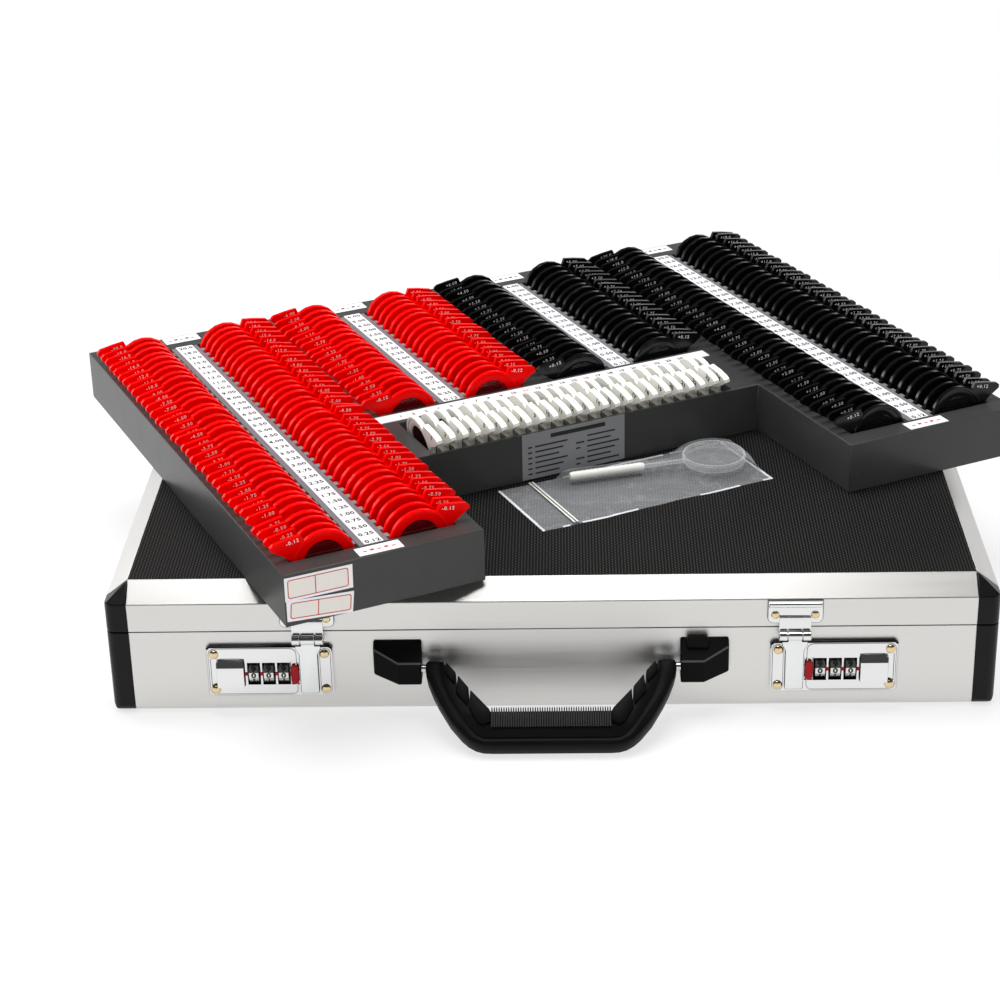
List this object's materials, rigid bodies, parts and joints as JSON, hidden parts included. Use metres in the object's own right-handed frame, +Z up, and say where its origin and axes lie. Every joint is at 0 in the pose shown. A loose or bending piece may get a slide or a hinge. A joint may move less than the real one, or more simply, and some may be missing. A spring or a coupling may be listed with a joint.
{
  "type": "trial lens case",
  "caption": "Aluminium framed carrying case with combination locks, hasps and a handle, its slotted tray of tabbed trial lenses lifted out and laid across the lid.",
  "frame": {"origin": "centre of the flat face that the case base rests on", "axes": "+X to the right along the case's front, +Y to the hinge side, +Z up"},
  "size_m": [0.6152, 0.5657, 0.1296],
  "materials": {
    "aluminium": "brushed",
    "black_plastic": "satin",
    "black_panel": "woven",
    "foam": "matt",
    "steel": "brushed",
    "lock_metal": "satin",
    "rivet_gold": "polished",
    "dial_plastic": "satin",
    "red_plastic": "gloss",
    "handle_rubber": "ribbed",
    "tray_plastic": "satin",
    "label_white": "printed",
    "lens_red": "gloss",
    "lens_black": "gloss",
    "lens_white": "gloss",
    "bag_film": "clear film",
    "hand_white": "gloss",
    "glass": "clear"
  },
  "bodies": {
    "base": {"base_front_rail": "aluminium", "base_rear_rail": "aluminium", "base_left_rail": "aluminium", "base_right_rail": "aluminium", "base_panel": "black_panel", "base_corners": "black_plastic", "base_liner": "foam", "rear_feet": "black_plastic", "base_hinge_leaves": "steel", "hinge_pins": "steel", "lock_plate_left": "lock_metal", "lock_plate_right": "lock_metal", "lock_rivets": "rivet_gold", "lock_axles": "steel", "handle_brackets": "black_plastic", "handle_pins": "steel"},
    "lid": {"lid_front_rail": "aluminium", "lid_rear_rail": "aluminium", "lid_left_rail": "aluminium", "lid_right_rail": "aluminium", "lid_panel": "black_panel", "lid_corners": "black_plastic", "lid_liner": "foam", "lid_hinge_leaves": "steel", "keeper_plates": "lock_metal", "keeper_rivets": "rivet_gold", "hasp_pins": "steel"},
    "hasp_left": {"hasp_left": "lock_metal"},
    "lock_button_left": {"lock_button_left": "lock_metal"},
    "setting_slide_left": {"setting_slide_left": "red_plastic"},
    "dial_left_1": {"dial_left_1": "dial_plastic"},
    "dial_left_2": {"dial_left_2": "dial_plastic"},
    "dial_left_3": {"dial_left_3": "dial_plastic"},
    "hasp_right": {"hasp_right": "lock_metal"},
    "lock_button_right": {"lock_button_right": "lock_metal"},
    "setting_slide_right": {"setting_slide_right": "red_plastic"},
    "dial_right_1": {"dial_right_1": "dial_plastic"},
    "dial_right_2": {"dial_right_2": "dial_plastic"},
    "dial_right_3": {"dial_right_3": "dial_plastic"},
    "handle": {"handle": "handle_rubber"},
    "tray": {"tray_body": "tray_plastic", "ribs_left_wing": "tray_plastic", "ribs_right_wing": "tray_plastic", "ribs_middle_left": "tray_plastic", "ribs_middle_right": "tray_plastic", "ribs_comb": "tray_plastic", "label_rails": "tray_plastic", "number_strips": "label_white"},
    "lens_row_1": {"lens_row_1": "lens_red"},
    "lens_row_2": {"lens_row_2": "lens_red"},
    "lens_row_3": {"lens_row_3": "lens_red"},
    "lens_row_4": {"lens_row_4": "lens_red"},
    "lens_row_5": {"lens_row_5": "lens_black"},
    "lens_row_6": {"lens_row_6": "lens_black"},
    "lens_row_7": {"lens_row_7": "lens_black"},
    "lens_row_8": {"lens_row_8": "lens_black"},
    "lens_row_cross": {"lens_row_cross": "lens_white"},
    "zip_bag": {"zip_bag": "bag_film"},
    "hand_lens": {"hand_lens_handle": "hand_white", "hand_lens_glass": "glass"}
  },
  "joints": [
    {"name": "lid_hinge", "type": "hinge", "parent": "base", "child": "lid", "pos_m": [0, 0.202, 0.05435], "axis": [-1, 0, 0], "range_deg": [0, 95]},
    {"name": "hasp_left_hinge", "type": "hinge", "parent": "lid", "child": "hasp_left", "pos_m": [-0.1428, -0.2025, 0.0505], "axis": [-1, 0, 0], "range_deg": [0, 120]},
    {"name": "lock_button_left_slide", "type": "slide", "parent": "base", "child": "lock_button_left", "axis": [-1, 0, 0], "range_m": [0, 0.0035], "stiffness_N_per_m": 200, "springref_m": -0.002},
    {"name": "setting_slide_left_slide", "type": "slide", "parent": "base", "child": "setting_slide_left", "axis": [0, 0, 1], "range_m": [0, 0.002]},
    {"name": "dial_left_1_turn", "type": "hinge", "parent": "base", "child": "dial_left_1", "pos_m": [-0.1581, -0.1969, 0.0275], "axis": [1, 0, 0], "continuous": true},
    {"name": "dial_left_2_turn", "type": "hinge", "parent": "base", "child": "dial_left_2", "pos_m": [-0.167, -0.1969, 0.0275], "axis": [1, 0, 0], "continuous": true},
    {"name": "dial_left_3_turn", "type": "hinge", "parent": "base", "child": "dial_left_3", "pos_m": [-0.1759, -0.1969, 0.0275], "axis": [1, 0, 0], "continuous": true},
    {"name": "hasp_right_hinge", "type": "hinge", "parent": "lid", "child": "hasp_right", "pos_m": [0.1428, -0.2025, 0.0505], "axis": [-1, 0, 0], "range_deg": [0, 120]},
    {"name": "lock_button_right_slide", "type": "slide", "parent": "base", "child": "lock_button_right", "axis": [1, 0, 0], "range_m": [0, 0.0035], "stiffness_N_per_m": 200, "springref_m": -0.002},
    {"name": "setting_slide_right_slide", "type": "slide", "parent": "base", "child": "setting_slide_right", "axis": [0, 0, 1], "range_m": [0, 0.002]},
    {"name": "dial_right_1_turn", "type": "hinge", "parent": "base", "child": "dial_right_1", "pos_m": [0.1581, -0.1969, 0.0275], "axis": [1, 0, 0], "continuous": true},
    {"name": "dial_right_2_turn", "type": "hinge", "parent": "base", "child": "dial_right_2", "pos_m": [0.167, -0.1969, 0.0275], "axis": [1, 0, 0], "continuous": true},
    {"name": "dial_right_3_turn", "type": "hinge", "parent": "base", "child": "dial_right_3", "pos_m": [0.1759, -0.1969, 0.0275], "axis": [1, 0, 0], "continuous": true},
    {"name": "handle_hinge", "type": "hinge", "parent": "base", "child": "handle", "pos_m": [0, -0.2065, 0.033], "axis": [-1, 0, 0], "range_deg": [-50, 75]},
    {"name": "tray_lift", "type": "slide", "parent": "lid", "child": "tray", "axis": [0, 0, 1], "range_m": [0, 0.12]},
    {"name": "lens_row_1_lift", "type": "slide", "parent": "tray", "child": "lens_row_1", "axis": [0, 0, 1], "range_m": [0, 0.045]},
    {"name": "lens_row_2_lift", "type": "slide", "parent": "tray", "child": "lens_row_2", "axis": [0, 0, 1], "range_m": [0, 0.045]},
    {"name": "lens_row_3_lift", "type": "slide", "parent": "tray", "child": "lens_row_3", "axis": [0, 0, 1], "range_m": [0, 0.045]},
    {"name": "lens_row_4_lift", "type": "slide", "parent": "tray", "child": "lens_row_4", "axis": [0, 0, 1], "range_m": [0, 0.045]},
    {"name": "lens_row_5_lift", "type": "slide", "parent": "tray", "child": "lens_row_5", "axis": [0, 0, 1], "range_m": [0, 0.045]},
    {"name": "lens_row_6_lift", "type": "slide", "parent": "tray", "child": "lens_row_6", "axis": [0, 0, 1], "range_m": [0, 0.045]},
    {"name": "lens_row_7_lift", "type": "slide", "parent": "tray", "child": "lens_row_7", "axis": [0, 0, 1], "range_m": [0, 0.045]},
    {"name": "lens_row_8_lift", "type": "slide", "parent": "tray", "child": "lens_row_8", "axis": [0, 0, 1], "range_m": [0, 0.045]},
    {"name": "lens_row_cross_lift", "type": "slide", "parent": "tray", "child": "lens_row_cross", "axis": [0, 0, 1], "range_m": [0, 0.045]},
    {"name": "zip_bag_lift", "type": "slide", "parent": "lid", "child": "zip_bag", "axis": [0, 0, 1], "range_m": [0, 0.06]},
    {"name": "hand_lens_slide", "type": "slide", "parent": "zip_bag", "child": "hand_lens", "axis": [-0.8936, -0.4489, 0], "range_m": [0, 0.1]}
  ]
}
